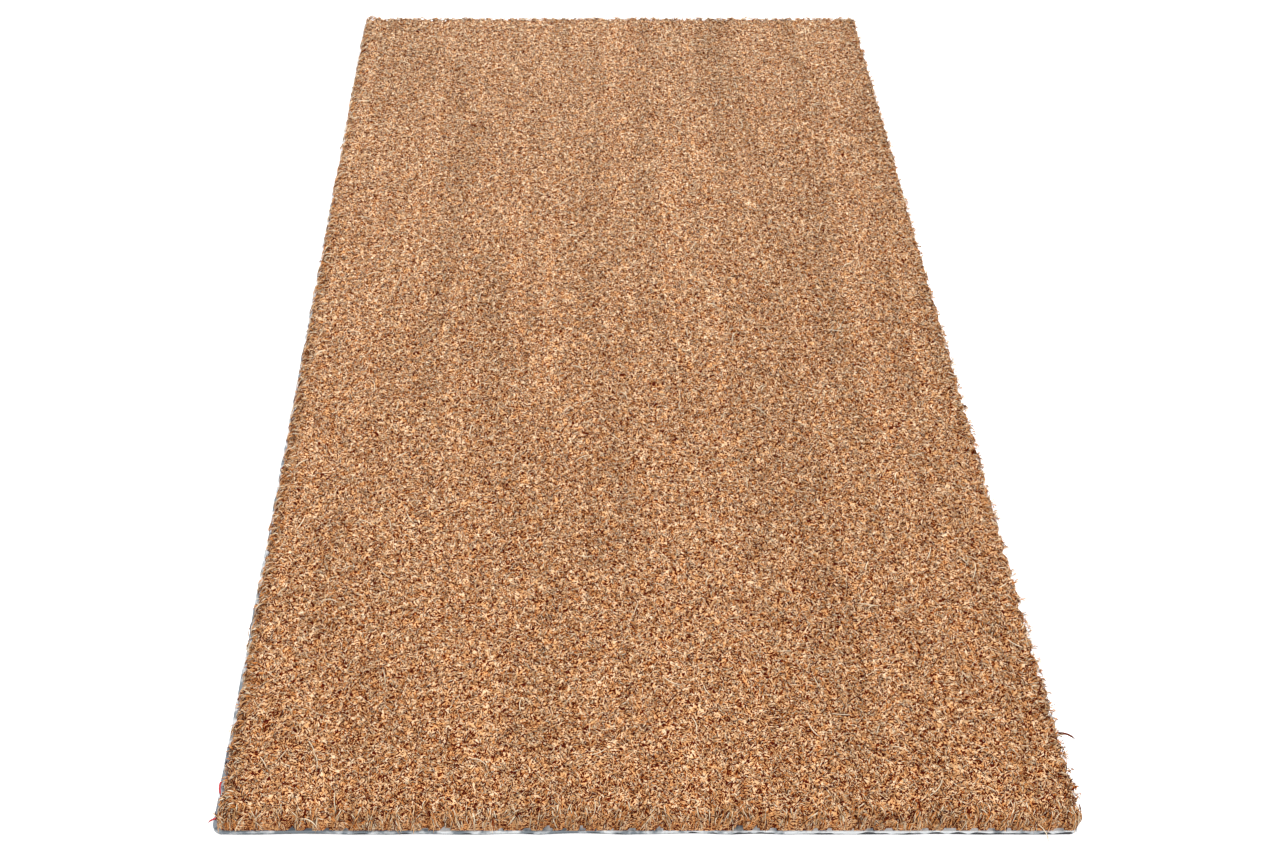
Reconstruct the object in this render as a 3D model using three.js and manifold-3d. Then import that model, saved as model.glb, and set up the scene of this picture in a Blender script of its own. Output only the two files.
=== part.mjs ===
// Plain coir door mat: a cast PVC backing with rows of coir tufts set upright in it.
// Millimetres. +X across the rows, +Y along them, +Z up. The origin is the centre of the underside.

import * as THREE from "three";
import { mergeVertices } from "three/addons/utils/BufferGeometryUtils.js";
import Module from "manifold-3d";

// The cut mat
const MAT_WIDTH = 450;
const MAT_LENGTH = 750;
const MAT_HEIGHT = 15;
const CORNER_RADIUS = 8;

// The PVC backing
const BACKING_THICKNESS = 2.5;

// The rows of tufts. One row is what one yarn leaves behind it along the length of the roll.
const ROW_PITCH = 10;
const ROW_GAP = 0.4;
const PILE_INSET = 0.8;

// The roots, pressed into the wet PVC
const ROOT_WIDTH = 4;
const ROOT_DEPTH = 1.5;
const ROOT_INSET = 2.5;

// The gap left between a row and the PVC that grips it
const FIT_GAP = 0.3;

// How a tuft opens above the PVC, as shares of the height of the pile
const OPENED_AT = 0.45;
const SHOULDER_AT = 0.93;

// How much narrower than its widest place the sheared top of a row is, each side
const SHOULDER_CUT = 1.2;

const CURVE_STEPS = 6;

const wasm = await Module();
wasm.setup();

function toSolid(geometry) {
  const plain = geometry.clone();
  plain.deleteAttribute("normal");
  plain.deleteAttribute("uv");
  const merged = mergeVertices(plain, 1e-4);
  const mesh = new wasm.Mesh({
    numProp: 3,
    vertProperties: new Float32Array(merged.attributes.position.array),
    triVerts: new Uint32Array(merged.index.array),
  });
  return new wasm.Manifold(mesh);
}

function toGeometry(solid) {
  const mesh = solid.getMesh();
  const geometry = new THREE.BufferGeometry();
  geometry.setAttribute("position", new THREE.BufferAttribute(mesh.vertProperties, 3));
  geometry.setIndex(new THREE.BufferAttribute(mesh.triVerts, 1));
  return geometry;
}

// An upright prism over the mat's outline, standing back from the cut edge by an inset.
function outlinePrism(inset, bottom, top) {
  const halfWidth = MAT_WIDTH / 2 - inset;
  const halfLength = MAT_LENGTH / 2 - inset;
  const radius = Math.max(CORNER_RADIUS - inset, FIT_GAP);
  const outline = new THREE.Shape();
  outline.absarc(halfWidth - radius, halfLength - radius, radius, 0, Math.PI / 2);
  outline.absarc(radius - halfWidth, halfLength - radius, radius, Math.PI / 2, Math.PI);
  outline.absarc(radius - halfWidth, radius - halfLength, radius, Math.PI, Math.PI * 1.5);
  outline.absarc(halfWidth - radius, radius - halfLength, radius, Math.PI * 1.5, Math.PI * 2);
  const prism = new THREE.ExtrudeGeometry(outline, {
    depth: top - bottom,
    bevelEnabled: false,
    curveSegments: CURVE_STEPS,
  });
  prism.translate(0, 0, bottom);
  return toSolid(prism);
}

// A bar along the rows with a level floor, for a row's root and for the groove round it.
function rootBar(rowX, width, bottom, top) {
  const bar = new THREE.BoxGeometry(width, MAT_LENGTH, top - bottom);
  bar.translate(rowX, 0, (top + bottom) / 2);
  return toSolid(bar);
}

// The places of the rows: as many whole rows as the width holds, centred on the mat.
const rowCount = Math.floor((MAT_WIDTH + ROW_GAP) / ROW_PITCH);
const rowPlaces = [];
for (let row = 0; row < rowCount; row += 1) {
  rowPlaces.push((row - (rowCount - 1) / 2) * ROW_PITCH);
}

const rootBottom = BACKING_THICKNESS - ROOT_DEPTH;
const pileBottom = BACKING_THICKNESS + FIT_GAP;
const pileHeight = MAT_HEIGHT - pileBottom;

// The PVC sheet, with a groove round the roots of each row.
function pvcBacking() {
  const sheet = outlinePrism(0, 0, BACKING_THICKNESS);
  const grooveArea = outlinePrism(ROOT_INSET - FIT_GAP, rootBottom - FIT_GAP, MAT_HEIGHT);
  let grooved = sheet;
  for (const rowX of rowPlaces) {
    const grooveWidth = ROOT_WIDTH + 2 * FIT_GAP;
    const bar = rootBar(rowX, grooveWidth, rootBottom - FIT_GAP, MAT_HEIGHT);
    grooved = grooved.subtract(bar.intersect(grooveArea));
  }
  return toGeometry(grooved);
}

// The cross-section of a row above the PVC: pinched at the neck, open above, sheared level on top.
function pileSection() {
  const halfNeck = ROOT_WIDTH / 2;
  const halfOpen = (ROW_PITCH - ROW_GAP) / 2;
  const halfTop = halfOpen - SHOULDER_CUT;
  const openedZ = pileBottom + pileHeight * OPENED_AT;
  const shoulderZ = pileBottom + pileHeight * SHOULDER_AT;
  const section = new THREE.Shape();
  section.moveTo(-halfNeck, pileBottom);
  section.lineTo(halfNeck, pileBottom);
  section.quadraticCurveTo(halfOpen, pileBottom, halfOpen, openedZ);
  section.lineTo(halfOpen, shoulderZ);
  section.quadraticCurveTo(halfOpen, MAT_HEIGHT, halfTop, MAT_HEIGHT);
  section.lineTo(-halfTop, MAT_HEIGHT);
  section.quadraticCurveTo(-halfOpen, MAT_HEIGHT, -halfOpen, shoulderZ);
  section.lineTo(-halfOpen, openedZ);
  section.quadraticCurveTo(-halfOpen, pileBottom, -halfNeck, pileBottom);
  return section;
}

// One row: the pile above the PVC and the root below it, both cut to the mat's outline.
function tuftRow(rowX) {
  const strip = new THREE.ExtrudeGeometry(pileSection(), {
    depth: MAT_LENGTH,
    bevelEnabled: false,
    curveSegments: CURVE_STEPS / 2,
  });
  strip.rotateX(Math.PI / 2);
  strip.translate(rowX, MAT_LENGTH / 2, 0);
  const pile = toSolid(strip).intersect(outlinePrism(PILE_INSET, 0, MAT_HEIGHT * 2));
  const bar = rootBar(rowX, ROOT_WIDTH, rootBottom, pileBottom + FIT_GAP);
  const root = bar.intersect(outlinePrism(ROOT_INSET, 0, MAT_HEIGHT));
  return toGeometry(pile.add(root));
}

// Light grey soft PVC, cast and cured on a belt
const pvcMaterial = new THREE.MeshStandardMaterial({
  color: 0xb9bdc0,
  roughness: 0.55,
  metalness: 0,
});

const mat = new THREE.Group();

const backing = new THREE.Mesh(pvcBacking(), pvcMaterial);
backing.name = "pvc_backing";
mat.add(backing);

// Natural coir, dry and matt. Each row has a material of its own.
rowPlaces.forEach((rowX, index) => {
  const coirMaterial = new THREE.MeshStandardMaterial({
    color: 0xb98c62,
    roughness: 0.95,
    metalness: 0,
  });
  const row = new THREE.Mesh(tuftRow(rowX), coirMaterial);
  row.name = `tuft_row_${String(index + 1).padStart(2, "0")}`;
  mat.add(row);
});

export default mat;
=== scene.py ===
import math
import random

import bmesh
import bpy
from mathutils import Matrix, Vector, kdtree, noise


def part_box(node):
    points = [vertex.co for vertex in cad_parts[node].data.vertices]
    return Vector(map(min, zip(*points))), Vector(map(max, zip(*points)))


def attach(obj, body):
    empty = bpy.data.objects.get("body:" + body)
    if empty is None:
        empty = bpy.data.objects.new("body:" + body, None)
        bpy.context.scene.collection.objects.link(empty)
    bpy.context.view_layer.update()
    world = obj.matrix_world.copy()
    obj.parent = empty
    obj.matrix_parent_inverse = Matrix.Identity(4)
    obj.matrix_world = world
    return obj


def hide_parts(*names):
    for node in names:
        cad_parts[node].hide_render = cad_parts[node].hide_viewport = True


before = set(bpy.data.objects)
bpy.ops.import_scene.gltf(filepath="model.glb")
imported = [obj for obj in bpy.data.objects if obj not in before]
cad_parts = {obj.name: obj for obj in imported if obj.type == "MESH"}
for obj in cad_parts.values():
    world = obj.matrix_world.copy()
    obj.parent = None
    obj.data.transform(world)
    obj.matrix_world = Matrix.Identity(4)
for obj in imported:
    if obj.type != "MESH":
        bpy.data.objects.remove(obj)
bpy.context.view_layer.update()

scene = bpy.context.scene
MM = 0.001


# ---- Camera ----
# An ordinary lens held low over the near end of the mat, looking down its length. The middle of
# the frame lies a little to the right of the lens axis, which keeps both ends of the mat level.
SENSOR_WIDTH = 36.0
LENS_LENGTH = 33.2578
FRAME_SHIFT = 0.06336
CAMERA_PLACE = (-0.0448, -0.6014, 0.6067)
LOOKING_DOWN = math.radians(50.49)
camera_data = bpy.data.cameras.new("camera")
camera_data.sensor_width = SENSOR_WIDTH
camera_data.lens = LENS_LENGTH
camera_data.shift_x = FRAME_SHIFT
camera = bpy.data.objects.new("camera", camera_data)
camera.location = CAMERA_PLACE
camera.rotation_euler = (math.pi / 2 - LOOKING_DOWN, 0, 0)
scene.collection.objects.link(camera)
scene.camera = camera


# ---- PVC backing ----
# One sheet of soft PVC, cast as a paste on a belt and cured round the roots of the tufts. It was
# cut to size with a knife, so its edge is a little wavy and spreads towards the floor. The belt
# leaves its weave on the dark underside, and the same dark is painted up the foot of the cut edge
# as a contact shadow.
BACKING_CELL = 5 * MM  # the grid that the sheet is made of
CORNER_RADIUS = 6 * MM
CORNER_CUTS = 5
EDGE_WAVE = 1.0 * MM  # how far the knife wandered inwards, over each EDGE_WAVE_LENGTH
EDGE_WAVE_LENGTH = 30 * MM
EDGE_NICK = 0.3 * MM  # the small nicks that it left
EDGE_NICK_LENGTH = 5 * MM
EDGE_LEAN = 0.6 * MM  # how far the top of the edge is inside its foot
EDGE_LIFT = 0.3 * MM  # how far the foot comes off the floor in places
EDGE_LIFT_LENGTH = 60 * MM
BELT_THREAD = 1.6 * MM
PVC_GRAIN = 7 * MM
GREYING_REACH = 400 * MM  # how far the greying reaches from the near left corner
GREYING_SHIFT = 0.1
SHADOW_PATCH = 11 * MM
SHADOW_LOWEST = 0.3 * MM  # how far up the edge the painted contact shadow runs
SHADOW_HIGHEST = 2.0 * MM

PVC_CUT = "#cdd0d2"
PVC_GREY = "#646d75"
PVC_UNDER_SHADOW = "#181b22"

backing_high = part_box("pvc_backing")[1]
half_width = backing_high.x
half_length = backing_high.y
backing_top = backing_high.z


def linear(hex_colour):
    """An sRGB hex colour as linear RGBA."""
    levels = [int(hex_colour[i:i + 2], 16) / 255 for i in (1, 3, 5)]
    return [c / 12.92 if c <= 0.04045 else ((c + 0.055) / 1.055) ** 2.4 for c in levels] + [1.0]


def node(tree, kind, settings=(), links=()):
    """Adds a shader node, sets its properties and inputs, and links its inputs."""
    made = tree.nodes.new(kind)
    for name, value in dict(settings).items():
        if isinstance(name, str) and hasattr(made, name):
            setattr(made, name, value)
        else:
            made.inputs[name].default_value = value
    for name, source in dict(links).items():
        tree.links.new(source, made.inputs[name])
    return made


def new_material(name):
    """A material with an empty tree, and its tree."""
    material = bpy.data.materials.new(name)
    material.use_nodes = True
    material.node_tree.nodes.clear()
    return material, material.node_tree


def finished(name, work, material, smooth):
    """Turns a bmesh into an object that wears one material."""
    mesh = bpy.data.meshes.new(name)
    work.to_mesh(mesh)
    work.free()
    if smooth:
        mesh.shade_smooth()
    else:
        mesh.shade_flat()
    mesh.materials.append(material)
    made = bpy.data.objects.new(name, mesh)
    scene.collection.objects.link(made)
    return made


def cast_pvc():
    """Soft PVC: matt, pale, greyer near one corner, dark below and as a painted shadow along its
    foot.
    """
    material, tree = new_material("cast_pvc")
    place = node(tree, "ShaderNodeTexCoord")
    grain = node(tree, "ShaderNodeTexNoise", {"Scale": 1 / PVC_GRAIN, "Detail": 3.0},
                 {"Vector": place.outputs["Object"]})
    # It is greyer round the near left corner, and less so further from it.
    from_corner = node(tree, "ShaderNodeVectorMath",
                       {"operation": "DISTANCE", 1: (-half_width, -half_length, 0)},
                       {0: place.outputs["Object"]})
    corner_greying = node(tree, "ShaderNodeMapRange",
                   {"From Min": 0.0, "From Max": GREYING_REACH,
                    "To Min": -GREYING_SHIFT, "To Max": GREYING_SHIFT},
                   {"Value": from_corner.outputs["Value"]})
    paleness = node(tree, "ShaderNodeMath", {"operation": "ADD"},
                   {0: corner_greying.outputs[0], 1: grain.outputs["Fac"]})
    greyed = node(tree, "ShaderNodeValToRGB", (), {"Fac": paleness.outputs[0]})
    greyed.color_ramp.elements[0].position = 0.42
    greyed.color_ramp.elements[0].color = linear(PVC_GREY)
    greyed.color_ramp.elements[1].position = 0.6
    greyed.color_ramp.elements[1].color = linear(PVC_CUT)
    # A painted contact shadow, in the underside's dark, runs up the foot of the cut edge in places,
    # and less so towards the near left corner.
    height = node(tree, "ShaderNodeSeparateXYZ", (), {0: place.outputs["Object"]})
    shadow_breaks = node(tree, "ShaderNodeTexNoise", {"Scale": 1 / SHADOW_PATCH, "Detail": 1.0},
                {"Vector": place.outputs["Object"]})
    shadow_reach = node(tree, "ShaderNodeMath", {"operation": "ADD"},
                     {0: corner_greying.outputs[0], 1: shadow_breaks.outputs["Fac"]})
    shadow_top = node(tree, "ShaderNodeMapRange",
                    {"From Min": 0.52, "From Max": 0.7,
                     "To Min": SHADOW_LOWEST, "To Max": SHADOW_HIGHEST},
                    {"Value": shadow_reach.outputs[0]})
    above_shadow = node(tree, "ShaderNodeMath", {"operation": "GREATER_THAN"},
                     {0: height.outputs["Z"], 1: shadow_top.outputs[0]})
    colour = node(tree, "ShaderNodeMix", {"data_type": "RGBA"},
                  {0: above_shadow.outputs[0], 7: greyed.outputs[0]})
    colour.inputs[6].default_value = linear(PVC_UNDER_SHADOW)
    # A wave texture at scale 1 has a band every tau / 20 units.
    thread_scale = math.tau / 20 / BELT_THREAD
    warp = node(tree, "ShaderNodeTexWave", {"bands_direction": "X", "Scale": thread_scale},
                {"Vector": place.outputs["Object"]})
    weft = node(tree, "ShaderNodeTexWave", {"bands_direction": "Y", "Scale": thread_scale},
                {"Vector": place.outputs["Object"]})
    weave = node(tree, "ShaderNodeMath", {"operation": "MAXIMUM"},
                 {0: warp.outputs["Fac"], 1: weft.outputs["Fac"]})
    relief = node(tree, "ShaderNodeBump", {"Strength": 0.4, "Distance": 0.15 * MM},
                  {"Height": weave.outputs[0]})
    shader = node(tree, "ShaderNodeBsdfPrincipled", {"IOR": 1.53, "Roughness": 0.6},
                  {"Base Color": colour.outputs[2], "Normal": relief.outputs[0]})
    node(tree, "ShaderNodeOutputMaterial", (), {"Surface": shader.outputs[0]})
    return material


work = bmesh.new()
bmesh.ops.create_grid(work, x_segments=round(2 * half_width / BACKING_CELL),
                      y_segments=round(2 * half_length / BACKING_CELL), size=1.0,
                      matrix=Matrix.Diagonal((half_width, half_length, 1, 1)))
for side_x in (-1, 1):
    for side_y in (-1, 1):
        centre = Vector((side_x * (half_width - CORNER_RADIUS),
                         side_y * (half_length - CORNER_RADIUS), 0))
        for cut in range(CORNER_CUTS):
            turn = (cut + 0.5) / CORNER_CUTS * math.pi / 2
            outward = Vector((side_x * math.cos(turn), side_y * math.sin(turn), 0))
            bmesh.ops.bisect_plane(work, geom=work.verts[:] + work.edges[:] + work.faces[:],
                                   plane_co=centre + outward * CORNER_RADIUS, plane_no=outward,
                                   clear_outer=True)
bmesh.ops.remove_doubles(work, verts=work.verts, dist=0.05 * MM)
top_faces = work.faces[:]
under = bmesh.ops.duplicate(work, geom=top_faces)
under_faces = [part for part in under["geom"] if isinstance(part, bmesh.types.BMFace)]
bmesh.ops.reverse_faces(work, faces=under_faces)
bmesh.ops.translate(work, verts=list({vert for face in top_faces for vert in face.verts}),
                    vec=(0, 0, backing_top))
rims = [edge for edge in work.edges if edge.is_boundary]
bmesh.ops.bridge_loops(work, edges=rims)
wall_edges = [edge for edge in work.edges
              if abs(edge.verts[0].co.z - edge.verts[1].co.z) > backing_top / 2]
bmesh.ops.subdivide_edges(work, edges=wall_edges, cuts=2)
on_cut = {vert for vert in work.verts
          if any(abs(face.normal.z) < 0.5 for face in vert.link_faces)}
work.normal_update()
for vert in on_cut:
    place = vert.co.copy()
    outward = Vector((place.x / half_width, place.y / half_length, 0))
    along = Vector((1 if abs(outward.x) > abs(outward.y) else 0,
                    0 if abs(outward.x) > abs(outward.y) else 1, 0))
    sign = math.copysign(1, outward.dot(along))
    wave = noise.noise(Vector((place.x, place.y, 0)) / EDGE_WAVE_LENGTH) * EDGE_WAVE
    nick = noise.noise(Vector((place.x, place.y, place.z * 3)) / EDGE_NICK_LENGTH) * EDGE_NICK
    lean = place.z / backing_top * EDGE_LEAN
    vert.co -= along * sign * (lean + abs(wave) + abs(nick))
    if place.z < backing_top / 2:
        lift = noise.noise(Vector((place.x, place.y, 5)) / EDGE_LIFT_LENGTH)
        vert.co.z += max(0.0, lift) * EDGE_LIFT
bmesh.ops.recalc_face_normals(work, faces=work.faces)
pvc = cast_pvc()
backing = finished("pvc_backing_sheet", work, pvc, smooth=False)
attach(backing, "root")
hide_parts("pvc_backing")


# ---- Coir tufts ----
# Each tuft is a short length of two-ply coir yarn, pressed upright into the wet PVC and sheared
# level. Above the PVC its plies open into packed domes of crinkled fibre that close over the
# yarn, with loose locks of fibre lying over them. All the pile leans a little to one side.
CLUMP_SPACING = 5 * MM  # from one dome to the next, along a row and across it
CLUMP_JITTER = 1.7 * MM
DOME_RADIUS = 3.2 * MM
PIT_LEVEL = 0.82  # the heights of pits and domes, as shares of the pile's height
DOME_LEVEL = 0.9
HIGHEST_LEVEL = 0.93
LUMP_SIZE = 1.5 * MM
SWELL_SIZE = 14 * MM

END_INSET = 1.2 * MM  # how far the pile's foot is inside the PVC's edge
SIDE_INSET = 1.6 * MM
PILE_CORNER = 5 * MM
PILE_SHIFT = 1.2 * MM  # how far the whole pile is pushed over, and its lean per unit of height
PILE_LEAN = 0.2
OVERHANG = 0.5 * MM  # how much further it hangs over the side that it leans to
BED_CELL = 1.35 * MM  # the grid that the packed fibre's surface is made of
BED_DEPTH = 0.2 * MM  # how far its foot is sunk in the PVC

EDGE_ROUND = 8 * MM  # how wide the rounded rim is
EDGE_STEP = 1.7 * MM  # from one lock to the next along the rim
EDGE_TILT = math.radians(55)
FAN = math.radians(35)
SCALLOP = 3.2 * MM  # how deep the rim is drawn in between two tufts
SCALLOP_CHANGE = 9 * MM
TUFT_WANDER = 4  # how far, as an angle, tufts stray from their even spacing along the rim
TUFT_WANDER_LENGTH = 25 * MM
STEEPNESS_CHANGE = 8 * MM
CLEAR_OF_RIM = 1.5 * MM  # no inner lock is nearer the rim than this

LOCK_FORMS = 40
LOCKS_IN_CLUMP = 2
FIBRES_IN_LOCK = 8
FIBRE_THICKNESS = 0.44 * MM  # drawn about twice as thick as coir, so that it shows
STRAYS_IN_ROW = 5
STRAY_THICKNESS = 0.6 * MM
STRAY_HEIGHT = 0.8 * MM
THREAD_THICKNESS = 1.3 * MM

# A fibre's tone is its place on the coir's ramp of colours: 0 is burnt, 1 is pale.
BURNT_SHARE = 0.28
PALE_SHARE = 0.22
BURNT_TONE = 0.05
PALE_TONE = 1.1
BED_TONE = 0.52
TONE_PATCH = 3 * MM
# Painted shade: how much darker the roots of fibres, the pits and the rim's notches are made.
ROOT_SHADE = 0.3
PIT_SHADE = 0.2
NOTCH_SHADE = 0.3
DEEPEST_TONE = 0.22
DYED_TONE = 3.0
FAR_END_LIGHT = 0.04

STRAND_WIDTH = 0.72 * MM
STRAND_STRETCH = 0.22
BUNDLE_SIZE = 2.8 * MM
CURL_SIZE = 2.2 * MM
CURL_SHIFT = 1.2 * MM
BATCH_SIZE = 20 * MM
BATCH_STRETCH = 0.07
BATCH_SHARE = 3.5
PATCH_SIZE = 9 * MM

COIR_BURNT = "#480e00"
COIR_DARK = "#963a00"
COIR_MID = "#cb7e3c"
COIR_LIGHT = "#d5a674"
COIR_PALE = "#e0ceb2"
DYED_RED = "#b8484c"

draw = random.Random(41)
row_names = sorted(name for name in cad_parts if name.startswith("tuft_row_"))
pile_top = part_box(row_names[0])[1].z
pile_height = pile_top - backing_top
row_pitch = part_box(row_names[2])[0].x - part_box(row_names[1])[0].x


def coir():
    """Undyed coconut fibre: dry, woody and matt, tan with some burnt and some pale fibres."""
    material, tree = new_material("natural_coir")
    place = node(tree, "ShaderNodeTexCoord")
    tone = node(tree, "ShaderNodeAttribute", {"attribute_name": "tone"})
    packed = node(tree, "ShaderNodeAttribute", {"attribute_name": "packed"})
    # The packed fibres lie in small bundles, each combed its own way and a little curled. The gaps
    # between the strands are painted dark, as shade between fibres, and the same pattern is their
    # bump.
    curl = node(tree, "ShaderNodeTexNoise", {"Scale": 1 / CURL_SIZE, "Detail": 1.0},
                {"Vector": place.outputs["Object"]})
    bend = node(tree, "ShaderNodeVectorMath",
                {"operation": "MULTIPLY_ADD", 1: (2 * CURL_SHIFT,) * 3, 2: (-CURL_SHIFT,) * 3},
                {0: curl.outputs["Color"]})
    bent = node(tree, "ShaderNodeVectorMath", {"operation": "ADD"},
                {0: bend.outputs[0], 1: place.outputs["Object"]})
    bundle = node(tree, "ShaderNodeTexVoronoi", {"Scale": 1 / BUNDLE_SIZE},
                  {"Vector": place.outputs["Object"]})
    combing = node(tree, "ShaderNodeMath", {"operation": "MULTIPLY", 1: math.tau},
                   {0: bundle.outputs["Color"]})
    combed = node(tree, "ShaderNodeVectorRotate", {"rotation_type": "Z_AXIS"},
                  {"Vector": bent.outputs[0], "Angle": combing.outputs[0]})
    lengthened = node(tree, "ShaderNodeMapping", {"Scale": (1.0, STRAND_STRETCH, 1.0)},
                      {"Vector": combed.outputs[0]})
    strands = node(tree, "ShaderNodeTexNoise", {"Scale": 1 / STRAND_WIDTH, "Detail": 1.0},
                   {"Vector": lengthened.outputs[0]})
    strand_relief_and_shade = node(tree, "ShaderNodeMapRange",
                  {"From Min": 0.39, "From Max": 0.54, "To Min": -1.2, "To Max": 0.42},
                  {"Value": strands.outputs["Fac"]})
    on_packed = node(tree, "ShaderNodeMath", {"operation": "MULTIPLY"},
                     {0: strand_relief_and_shade.outputs[0], 1: packed.outputs["Fac"]})
    tone_and_shade = node(tree, "ShaderNodeMath", {"operation": "ADD"},
                    {0: on_packed.outputs[0], 1: tone.outputs["Fac"]})
    # The tone is painted paler towards the far end and darker towards the near end, as painted
    # light.
    along = node(tree, "ShaderNodeSeparateXYZ", (), {0: place.outputs["Object"]})
    far_lighter = node(tree, "ShaderNodeMapRange",
                {"From Min": -half_length, "From Max": half_length,
                 "To Min": -FAR_END_LIGHT, "To Max": FAR_END_LIGHT},
                {"Value": along.outputs["Y"]})
    shown = node(tree, "ShaderNodeMath", {"operation": "ADD"},
                 {0: tone_and_shade.outputs[0], 1: far_lighter.outputs[0]})
    ramp = node(tree, "ShaderNodeValToRGB", (), {"Fac": shown.outputs[0]})
    stops = ramp.color_ramp.elements
    stops[0].color = linear(COIR_BURNT)
    stops[1].color = linear(COIR_PALE)
    for position, colour in ((0.27, COIR_DARK), (0.5, COIR_MID), (0.75, COIR_LIGHT)):
        stop = stops.new(position)
        stop.color = linear(colour)
    # Batches of husk differ, so the shade drifts along each yarn and from yarn to yarn.
    stretched = node(tree, "ShaderNodeMapping", {"Scale": (1.0, BATCH_STRETCH, 1.0)},
                     {"Vector": place.outputs["Object"]})
    batch = node(tree, "ShaderNodeTexNoise", {"Scale": 1 / BATCH_SIZE, "Detail": 2.0},
                 {"Vector": stretched.outputs[0]})
    patch = node(tree, "ShaderNodeTexNoise", {"Scale": 1 / PATCH_SIZE, "Detail": 2.0},
                 {"Vector": place.outputs["Object"]})
    both = node(tree, "ShaderNodeMath", {"operation": "MULTIPLY_ADD", 1: BATCH_SHARE},
                {0: batch.outputs["Fac"], 2: patch.outputs["Fac"]})
    shade = node(tree, "ShaderNodeMapRange",
                 {"From Min": 1.5, "From Max": 3.0, "To Min": 0.86, "To Max": 1.08},
                 {"Value": both.outputs[0]})
    # A thread whose tone is beyond any coir's was dyed.
    dyed = node(tree, "ShaderNodeMath", {"operation": "GREATER_THAN", 1: DYED_TONE / 2},
                {0: tone.outputs["Fac"]})
    fibre_colour = node(tree, "ShaderNodeMix", {"data_type": "RGBA"},
                        {0: dyed.outputs[0], 6: ramp.outputs[0]})
    fibre_colour.inputs[7].default_value = linear(DYED_RED)
    colour = node(tree, "ShaderNodeVectorMath", {"operation": "SCALE"},
                  {0: fibre_colour.outputs[2], "Scale": shade.outputs[0]})
    relief = node(tree, "ShaderNodeBump", {"Strength": 0.7, "Distance": 0.3 * MM},
                  {"Height": on_packed.outputs[0]})
    shader = node(tree, "ShaderNodeBsdfPrincipled",
                  {"Roughness": 0.7, "IOR": 1.5, "Specular IOR Level": 0.06},
                  {"Base Color": colour.outputs[0], "Normal": relief.outputs[0]})
    node(tree, "ShaderNodeOutputMaterial", (), {"Surface": shader.outputs[0]})
    return material


def straight_fibre(*rings):
    """A three-sided needle one unit long and thick, pointed at both ends, bending at its rings."""
    needle = bmesh.new()
    stations = (0, *rings, 1)
    for low, high in zip(stations, stations[1:]):
        bmesh.ops.create_cone(needle, segments=3, radius1=0.5 if low else 0,
                              radius2=0.5 if high < 1 else 0, depth=high - low,
                              matrix=Matrix.Translation((0, 0, (low + high) / 2)))
    bmesh.ops.remove_doubles(needle, verts=needle.verts, dist=1e-4)
    mesh = bpy.data.meshes.new("needle")
    needle.to_mesh(mesh)
    needle.free()
    return mesh


def new_coir():
    """An empty bmesh that holds each fibre's tone, and whether it is packed or loose."""
    work = bmesh.new()
    work.verts.layers.float.new("tone")
    work.verts.layers.float.new("packed")
    return work


def add_fibre(lock, needle, root, control, tip, thickness, tone):
    """Bends a copy of the needle along a curve and adds it to a lock."""
    copy = needle.copy()
    turn = Matrix.Rotation(draw.uniform(0, math.tau), 3, "Z")
    for vert in copy.vertices:
        along = vert.co.z
        middle = root * (1 - along) ** 2 + control * 2 * along * (1 - along) + tip * along ** 2
        heading = (control - root) * (1 - along) + (tip - control) * along
        across = turn @ Vector((vert.co.x, vert.co.y, 0)) * thickness
        across.rotate(heading.to_track_quat("Z", "Y"))
        vert.co = middle + across
    first = len(lock.verts)
    lock.from_mesh(copy)
    lock.verts.ensure_lookup_table()
    layer = lock.verts.layers.float["tone"]
    for vert, bent in zip(lock.verts[first:], needle.vertices):
        # The root end of each fibre is painted darker, as shade deep in the pile.
        vert[layer] = tone - ROOT_SHADE * max(0, 1 - bent.co.z * 3)
    bpy.data.meshes.remove(copy)


def fibre_tone(fibre):
    """Half of a lock's fibres are tan, and the others are burnt brown or pale."""
    share = (fibre + draw.random()) / FIBRES_IN_LOCK
    if share < BURNT_SHARE:
        return draw.uniform(-0.3, 0.15)
    if share < BURNT_SHARE + PALE_SHARE:
        return draw.uniform(0.9, PALE_TONE)
    return draw.triangular(0.4, 0.9, 0.7)


def sideways(angle, length):
    """A level vector of a given length at an angle from +X."""
    return Vector((math.cos(angle), math.sin(angle), 0)) * length


def stored(lock, name):
    """Keeps a finished lock as a mesh, to be copied into the rows."""
    mesh = bpy.data.meshes.new(name)
    lock.to_mesh(mesh)
    lock.free()
    return mesh


def inner_lock(form):
    """A lock that rises from the top of a dome, at its origin, and falls to its +X side."""
    lock = new_coir()
    bow = draw.gauss(0, 0.7) * MM
    for fibre in range(FIBRES_IN_LOCK):
        turn = draw.gauss(0, 0.3)
        root = sideways(turn, draw.uniform(-0.9, 0.9) * MM)
        root.y += draw.gauss(0, 0.9) * MM
        root.z = draw.uniform(-2.2, -1.2) * MM
        reach = draw.uniform(2.0, 5.8) * MM
        control = root + sideways(turn, reach * 0.45)
        control.y += bow + draw.gauss(0, 0.3) * MM
        control.z = draw.uniform(1.0, 2.2) * MM
        tip = root + sideways(turn + draw.gauss(0, 0.3), reach)
        tip.z = draw.uniform(-1.1, 0.7) * MM
        add_fibre(lock, needle_short, root, control, tip,
                  FIBRE_THICKNESS * draw.uniform(0.65, 1.4), fibre_tone(fibre))
    return stored(lock, f"inner_lock_{form}")


def rounded(distance):
    """How much of the pile's full height it has at a distance in from its outline."""
    into = min(1, max(0, distance / EDGE_ROUND))
    return math.sqrt(1 - (1 - into) ** 2)


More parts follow.
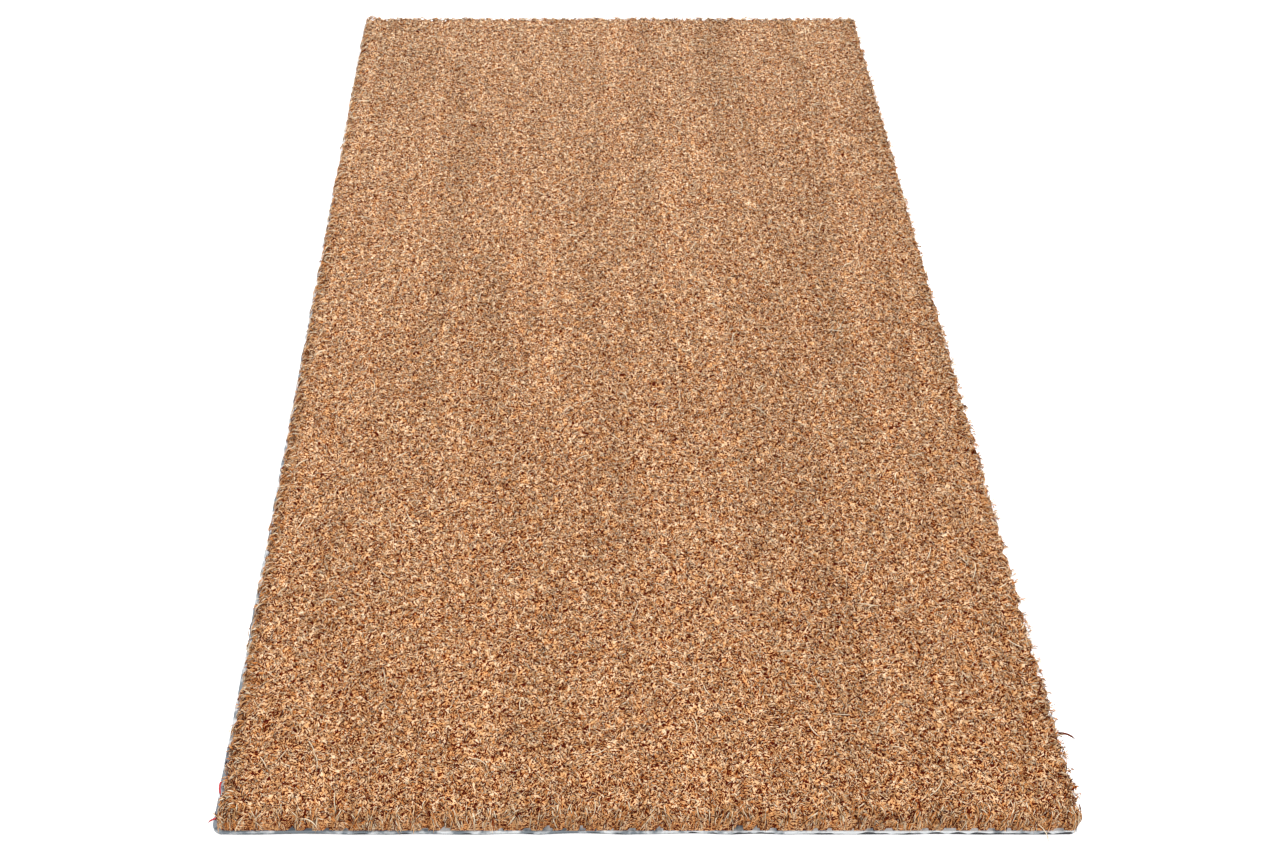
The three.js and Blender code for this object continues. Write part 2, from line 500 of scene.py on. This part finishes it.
def edge_lock(form):
    """A lock at the outline, with its +X side facing out, that falls down the rounded rim."""
    lock = new_coir()
    bow = draw.gauss(0, 0.9) * MM
    for fibre in range(FIBRES_IN_LOCK):
        turn = draw.gauss(0, 0.2)
        start = draw.uniform(1.5, 10) * MM
        end = max(draw.uniform(-1.5, 0.6) * MM, start - draw.uniform(4, 8) * MM)
        root = sideways(turn * 0.3, -start)
        root.y += draw.gauss(0, 0.8) * MM
        root.z = DOME_LEVEL * pile_height * rounded(start) - 0.8 * MM
        tip = root + sideways(turn, start - end)
        tip.z = DOME_LEVEL * pile_height * rounded(end) + draw.uniform(0.2, 1.4) * MM
        control = (root + tip) / 2 + sideways(turn + math.pi / 2, bow + draw.gauss(0, 0.4) * MM)
        control.z = DOME_LEVEL * pile_height * rounded((start + end) / 2)
        control.z += draw.uniform(1.2, 2.8) * MM
        add_fibre(lock, needle_long, root, control, tip,
                  FIBRE_THICKNESS * draw.uniform(0.7, 1.4), fibre_tone(fibre) + 0.05)
    return stored(lock, f"edge_lock_{form}")


def stray(form, tone, reach, thickness=STRAY_THICKNESS):
    """One long fibre that has worked loose and lies across the top, along its +X side."""
    lock = new_coir()
    root = Vector((0, 0, -0.5 * MM))
    control = Vector((reach * 0.5, reach * draw.uniform(-0.35, 0.35), 2.2 * MM))
    tip = Vector((reach, 0, 0.7 * MM))
    add_fibre(lock, needle_stray, root, control, tip, thickness, tone)
    return stored(lock, f"stray_{form}")


def plant(row, form, place, turn, size, outward=0, tilt=0):
    """Sets a copy of a lock in a row, tilted outwards, and leans it with the rest of the pile."""
    copy = form.copy()
    hinge = Vector((-math.sin(outward), math.cos(outward), 0))
    leant = place + Vector((PILE_SHIFT + (place.z - backing_top) * PILE_LEAN, 0, 0))
    copy.transform(Matrix.Translation(leant) @ Matrix.Rotation(tilt, 4, hinge)
                   @ Matrix.Rotation(turn, 4, "Z") @ Matrix.Scale(size, 4))
    row.from_mesh(copy)
    bpy.data.meshes.remove(copy)


def half_length_at(x):
    """Half the pile's length at a place across it, which is shorter at the rounded corners."""
    into_corner = abs(x) - (pile_half_width - PILE_CORNER)
    if into_corner <= 0:
        return pile_half_length
    drop = math.sqrt(max(0, PILE_CORNER ** 2 - into_corner ** 2))
    return pile_half_length - PILE_CORNER + drop


def nearest_rim(x, y):
    """How far a point is inside the pile's outline, and which way the outline is."""
    inner_x = abs(x) - (pile_half_width - PILE_CORNER)
    inner_y = abs(y) - (pile_half_length - PILE_CORNER)
    if inner_x > 0 and inner_y > 0:
        outward = math.atan2(math.copysign(inner_y, y), math.copysign(inner_x, x))
        return PILE_CORNER - math.hypot(inner_x, inner_y), outward
    if inner_x > inner_y:
        return PILE_CORNER - inner_x, 0 if x > 0 else math.pi
    return PILE_CORNER - inner_y, math.copysign(math.pi / 2, y)


def in_tuft(x, y, outward):
    """Where a place on the rim lies in its tuft, as an angle: 0 between tufts, pi in the middle."""
    along = y if abs(math.cos(outward)) > abs(math.sin(outward)) else x
    wander = noise.noise(Vector((along / TUFT_WANDER_LENGTH, outward, 0))) * TUFT_WANDER
    return (along + half_width) / row_pitch * math.tau + wander


def notch(x, y, outward):
    """How far the rim is drawn in between two tufts, and less so in the middle of a tuft."""
    depth = 0.6 + 0.8 * noise.noise(Vector(((x + y) / SCALLOP_CHANGE, outward, 5)))
    return (0.5 + 0.5 * math.cos(in_tuft(x, y, outward))) * depth * SCALLOP


def fan_side(outward):
    """1 where turning a lock to the left carries it forwards along the rim, and otherwise -1."""
    if abs(math.cos(outward)) > abs(math.sin(outward)):
        return math.copysign(1, math.cos(outward))
    return -math.copysign(1, math.sin(outward))


def packed_surface(x, y):
    """The packed fibre's height and tone: a dome over each ply, pits between, a rounded rim."""
    _, _, gap = dome_tree.find((x, y, 0))
    dome = max(0, 1 - (gap / DOME_RADIUS) ** 2)
    lump = noise.noise(Vector((x, y, 0)) / LUMP_SIZE) * 0.1
    swell = noise.noise(Vector((x, y, 7 * MM)) / SWELL_SIZE) * 0.04
    level = min(HIGHEST_LEVEL, PIT_LEVEL + (DOME_LEVEL - PIT_LEVEL) * dome + lump + swell)
    distance, outward = nearest_rim(x, y)
    drawn_in = notch(x, y, outward)
    steepness = 1 + 0.5 * noise.noise(Vector((x, y, 11 * MM)) / STEEPNESS_CHANGE)
    share = rounded((distance - drawn_in) * steepness)
    tone = BED_TONE + 0.12 * noise.noise(Vector((x, y, 9 * MM)) / TONE_PATCH)
    # The pits between the domes and the notches in the rim are painted darker, as shade.
    tone -= PIT_SHADE * (1 - dome) + NOTCH_SHADE * (1 - share) * drawn_in / SCALLOP
    # Where it is drawn right in, it lies just under the PVC's top and not level with it.
    return backing_top - BED_DEPTH / 2 + pile_height * level * share, tone


def lay_packed(row, low_x, high_x):
    """The packed fibre of one row: a lumpy strip, closed underneath."""
    cells_across = round((high_x - low_x) / BED_CELL)
    cells_along = round(2 * pile_half_length / BED_CELL)
    middle = Matrix.Translation(((low_x + high_x) / 2, 0, backing_top - BED_DEPTH))
    size = Matrix.Diagonal(((high_x - low_x) / 2, pile_half_length, 1, 1))
    bmesh.ops.create_grid(row, x_segments=cells_across, y_segments=cells_along, size=1,
                          matrix=middle @ size)
    for vert in row.verts:
        vert.co.y *= half_length_at(vert.co.x) / pile_half_length
    rims = [edge for edge in row.edges if edge.is_boundary]
    crown_verts = row.verts[:]
    walls = bmesh.ops.extrude_edge_only(row, edges=rims)
    foot = [part for part in walls["geom"] if isinstance(part, bmesh.types.BMEdge)
            and part.is_boundary]
    bmesh.ops.contextual_create(row, geom=foot)
    for edge in rims:
        edge.smooth = False
    tone = row.verts.layers.float["tone"]
    packed = row.verts.layers.float["packed"]
    for vert in crown_verts:
        x, y = vert.co.x, vert.co.y
        vert.co.z, vert[tone] = packed_surface(x, y)
        vert.co.x += (vert.co.z - backing_top) * PILE_LEAN
    for vert in row.verts:
        vert.co.x += PILE_SHIFT
        vert[packed] = 1.0
        vert[tone] = max(vert[tone], DEEPEST_TONE)
    bmesh.ops.recalc_face_normals(row, faces=row.faces)


needle_short = straight_fibre(0.45)
needle_long = straight_fibre(0.3, 0.65)
needle_stray = straight_fibre(0.15, 0.35, 0.55, 0.75)
inner_locks = [inner_lock(form) for form in range(LOCK_FORMS)]
edge_locks = [edge_lock(form) for form in range(LOCK_FORMS)]
strays = [stray(form, PALE_TONE if form % 4 else BURNT_TONE, draw.uniform(7, 14) * MM)
          for form in range(LOCK_FORMS)]
natural_coir = coir()

# Neighbouring rows meet half-way between their middles. The outer ones end at the pile's sides.
pile_half_width = half_width - SIDE_INSET
pile_half_length = half_length - END_INSET
first_bound = (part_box(row_names[1])[0].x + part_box(row_names[1])[1].x - row_pitch) / 2
row_bounds = [first_bound + row_pitch * row for row in range(len(row_names) - 1)]
row_bounds = [-pile_half_width, *row_bounds, pile_half_width]

# Where the domes stand: in staggered columns, two to a row, and each a little out of place.
clumps = []
for low_x, high_x in zip(row_bounds, row_bounds[1:]):
    columns = round((high_x - low_x) / CLUMP_SPACING)
    steps = round(2 * pile_half_length / CLUMP_SPACING)
    row_clumps = []
    for column in range(columns):
        for step in range(steps):
            stagger = 0.25 if column % 2 else -0.25
            x = low_x + (high_x - low_x) * (column + 0.5) / columns
            y = (2 * (step + 0.5 + stagger) / steps - 1) * pile_half_length
            row_clumps.append((x + draw.uniform(-1, 1) * CLUMP_JITTER,
                               y + draw.uniform(-1, 1) * CLUMP_JITTER))
    clumps.append(row_clumps)

dome_tree = kdtree.KDTree(sum(len(row_clumps) for row_clumps in clumps))
for row_clumps in clumps:
    for x, y in row_clumps:
        dome_tree.insert((x, y, 0), 0)
dome_tree.balance()

# A few loose threads from other work are caught in the rim near the front corners. Each lies
# some millimetres from its corner.
red_thread = stray("red", DYED_TONE, 9 * MM, THREAD_THICKNESS)
burnt_thread = stray("burnt", 2 * BURNT_TONE, 11 * MM, THREAD_THICKNESS)
front_left = Vector((-half_width, -half_length, 0))
front_right = Vector((half_width, -half_length, 0))
caught = (
    (row_names[0], front_left, (0.4, 25, 10), math.radians(-80), red_thread),
    (row_names[0], front_left, (5, 7, 6), math.radians(205), red_thread),
    (row_names[-1], front_right, (-5.2, 51.5, 10), math.radians(-24), burnt_thread),
    (row_names[-1], front_right, (-8, 16, 9), math.radians(35), burnt_thread),
)

# Where the rim's locks stand, and which way each one faces.
rim_places = []
straight_x = pile_half_width - PILE_CORNER
straight_y = pile_half_length - PILE_CORNER
for step in range(round(2 * straight_x / EDGE_STEP)):
    x = -straight_x + (step + 0.5) * EDGE_STEP
    rim_places.append((x, -pile_half_length, -math.pi / 2))
    rim_places.append((x, pile_half_length, math.pi / 2))
for step in range(round(2 * straight_y / EDGE_STEP)):
    y = -straight_y + (step + 0.5) * EDGE_STEP
    rim_places.append((-pile_half_width, y, math.pi))
    rim_places.append((pile_half_width, y, 0))
arc_steps = round(PILE_CORNER * math.pi / 2 / EDGE_STEP)
for side_x, side_y in ((1, 1), (-1, 1), (-1, -1), (1, -1)):
    for step in range(arc_steps):
        turn = (step + 0.5) / arc_steps * math.pi / 2
        out_x, out_y = side_x * math.cos(turn), side_y * math.sin(turn)
        rim_places.append((side_x * straight_x + out_x * PILE_CORNER,
                           side_y * straight_y + out_y * PILE_CORNER,
                           math.atan2(out_y, out_x)))

# Each row has its packed fibre, the locks over it, its loose fibres and its part of the rim.
for name, low_x, high_x, row_clumps in zip(row_names, row_bounds, row_bounds[1:], clumps):
    row = new_coir()
    lay_packed(row, low_x, high_x)
    for x, y in row_clumps:
        distance, outward = nearest_rim(x, y)
        if distance < CLEAR_OF_RIM:
            continue
        comb = draw.uniform(0, math.tau)
        share = rounded(distance)
        for lock in range(LOCKS_IN_CLUMP):
            turn = comb + lock * math.tau / LOCKS_IN_CLUMP + draw.gauss(0, 0.5)
            place = Vector((x, y, backing_top + DOME_LEVEL * pile_height * share
                            + draw.gauss(0, 0.25) * MM))
            plant(row, draw.choice(inner_locks), place, turn, draw.uniform(0.95, 1.04),
                  outward, (1 - share) * EDGE_TILT)
    for _ in range(STRAYS_IN_ROW):
        x, y = draw.choice(row_clumps)
        distance, outward = nearest_rim(x, y)
        share = rounded(distance)
        place = Vector((x, y, backing_top + DOME_LEVEL * pile_height * share + STRAY_HEIGHT))
        plant(row, draw.choice(strays), place, draw.uniform(0, math.tau), 1,
              outward, (1 - share) * EDGE_TILT)
    for x, y, turn in rim_places:
        if low_x <= x < high_x or (high_x == pile_half_width and x >= high_x):
            drawn_in = notch(x, y, turn) + draw.gauss(0, 0.5) * MM
            overhang = max(0, math.cos(turn)) * OVERHANG
            place = Vector((x + overhang, y, backing_top + draw.gauss(0, 0.3) * MM))
            place -= sideways(turn, drawn_in)
            fan = -FAN * math.sin(in_tuft(x, y, turn)) * fan_side(turn)
            plant(row, draw.choice(edge_locks), place, turn + fan + draw.gauss(0, 0.2),
                  draw.uniform(0.85, 1.1))
    for row_name, corner, from_corner, turn, thread in caught:
        if row_name == name:
            plant(row, thread, corner + Vector(from_corner) * MM, turn, 1)
    made = finished(name.replace("tuft_row", "coir_row"), row, natural_coir, smooth=True)
    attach(made, "root")
    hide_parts(name)


# ---- Studio ----
# A plain white floor that glows a little, so that no shadow greys it. A soft overhead light from
# behind the mat draws out the pile, and a broad, weaker one fills in from the front.
FLOOR_WHITE = "#ffffff"
FLOOR_GLOW = 0.32
FLOOR_DROP = 0.2 * MM
FLOOR_HALF_SIZE = 6
WORLD_STRENGTH = 0.6


def light(name, place, aim, size, power):
    """A square soft box, pointed at a place on the mat."""
    data = bpy.data.lights.new(name, "AREA")
    data.size = size
    data.energy = power
    made = bpy.data.objects.new(name, data)
    made.location = place
    made.rotation_euler = (Vector(aim) - Vector(place)).to_track_quat("-Z", "Y").to_euler()
    scene.collection.objects.link(made)


light("key_light", place=(-0.45, 1.05, 2.2), aim=(0, 0.2, 0), size=0.5, power=73)
light("fill_light", place=(0.6, -1.6, 1.6), aim=(0, 0, 0), size=1.6, power=22)

world = bpy.data.worlds.new("studio")
world.use_nodes = True
background = world.node_tree.nodes["Background"]
background.inputs["Color"].default_value = (1, 1, 1, 1)
background.inputs["Strength"].default_value = WORLD_STRENGTH
scene.world = world
scene.view_settings.view_transform = "Standard"

floor_material, floor_tree = new_material("white_floor")
floor_shader = node(floor_tree, "ShaderNodeBsdfPrincipled", {"Roughness": 0.9})
floor_shader.inputs["Base Color"].default_value = linear(FLOOR_WHITE)
floor_shader.inputs["Emission Color"].default_value = linear(FLOOR_WHITE)
floor_shader.inputs["Emission Strength"].default_value = FLOOR_GLOW
node(floor_tree, "ShaderNodeOutputMaterial", (), {"Surface": floor_shader.outputs[0]})
floor_work = bmesh.new()
bmesh.ops.create_grid(floor_work, x_segments=1, y_segments=1, size=FLOOR_HALF_SIZE)
floor = finished("floor", floor_work, floor_material, smooth=False)
floor.location.z = -FLOOR_DROP
